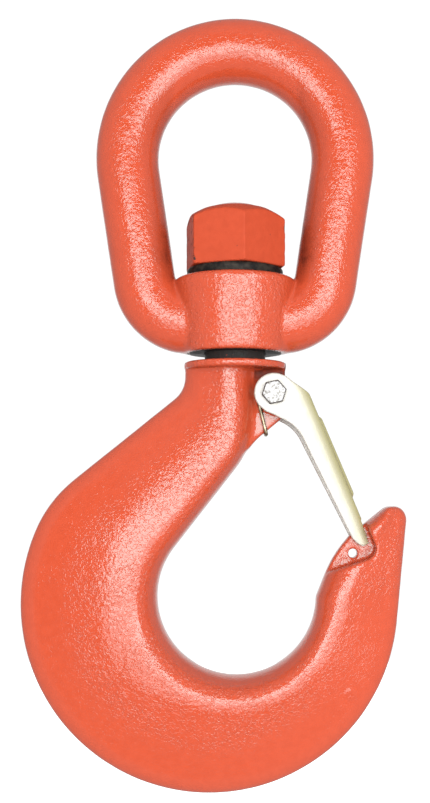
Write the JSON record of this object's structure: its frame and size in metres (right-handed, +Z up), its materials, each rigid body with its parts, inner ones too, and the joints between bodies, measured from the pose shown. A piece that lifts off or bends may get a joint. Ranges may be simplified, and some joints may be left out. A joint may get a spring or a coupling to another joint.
{
  "type": "swivel hook",
  "caption": "Forged swivel hoist hook: a pear-shaped bail whose collar carries a hook on a nutted shank, with a sprung sheet-metal latch across the throat.",
  "frame": {"origin": "inner top of the bail's eye, where the load line passes", "axes": "+Z up along the swivel axis, +X across the hook towards its point, +Y through its thickness towards the back"},
  "size_m": [0.1985, 0.0622, 0.3962],
  "materials": {
    "orange_paint": "glossy orange enamel over a forged surface",
    "dark_steel": "dark oiled steel",
    "yellow_zinc": "pale yellow zinc plate on pressed sheet",
    "clear_zinc": "bright clear zinc plate",
    "nylon": "natural nylon",
    "spring_steel": "drawn spring wire"
  },
  "bodies": {
    "bail": {"bail": "orange_paint"},
    "hook": {"hook": "orange_paint", "shank_nut": "orange_paint", "nut_pin": "dark_steel", "thrust_washer": "dark_steel", "latch_bolt": "clear_zinc", "lock_nut": "clear_zinc", "lock_nut_insert": "nylon", "latch_spring": "spring_steel"},
    "latch": {"latch": "yellow_zinc"}
  },
  "joints": [
    {"name": "swivel", "type": "hinge", "parent": "bail", "child": "hook", "pos_m": [0, 0, -0.12], "axis": [0, 0, 1], "continuous": true},
    {"name": "latch_swing", "type": "hinge", "parent": "hook", "child": "latch", "pos_m": [0.0195, 0, -0.1597], "axis": [0, 1, 0], "range_deg": [0, 50], "stiffness_Nm_per_rad": 0.25, "springref_deg": -68.75, "deforming": ["latch_spring"]}
  ]
}
